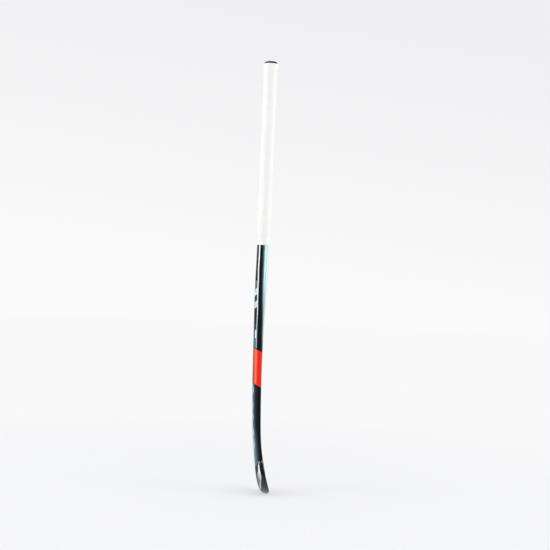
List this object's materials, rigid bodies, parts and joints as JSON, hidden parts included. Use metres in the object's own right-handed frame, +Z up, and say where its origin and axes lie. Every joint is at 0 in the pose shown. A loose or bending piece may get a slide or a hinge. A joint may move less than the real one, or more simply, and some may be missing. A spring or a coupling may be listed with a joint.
{
  "type": "field hockey stick",
  "caption": "Field hockey stick with a hooked head, a flat playing face, a low bow, a hollow laminate shaft and a wrapped white grip under a rubber butt cap.",
  "frame": {"origin": "on the surface the stick stands on, under the middle of its bounding box, at the lowest point of the head", "axes": "+Z up along the handle, towards the butt; -Y out of the flat playing face; -X from the shaft towards the toe"},
  "size_m": [0.1162, 0.0488, 0.9277],
  "materials": {
    "shell_lacquer": "high gloss lacquer over carbon laminate, teal and orange graphics",
    "carbon_laminate": "bare moulded laminate",
    "rigid_foam": "rough closed-cell foam",
    "elastomer": "smooth elastomer",
    "cap_rubber": "satin moulded rubber",
    "underlay": "adhesive fabric",
    "grip_white": "soft polyurethane grip strip, slightly tacky",
    "tape_white": "thin satin tape"
  },
  "bodies": {
    "root": {"outer_shell": "shell_lacquer", "toe_side_tube": "carbon_laminate", "heel_side_tube": "carbon_laminate", "toe_tube_plug": "rigid_foam", "heel_tube_plug": "rigid_foam", "head_core": "rigid_foam", "head_damper": "elastomer", "handle_damper": "elastomer", "handle_plug": "rigid_foam", "butt_cap": "cap_rubber", "grip_underlay": "underlay", "grip_wrap": "grip_white", "finishing_tape": "tape_white"}
  },
  "joints": []
}
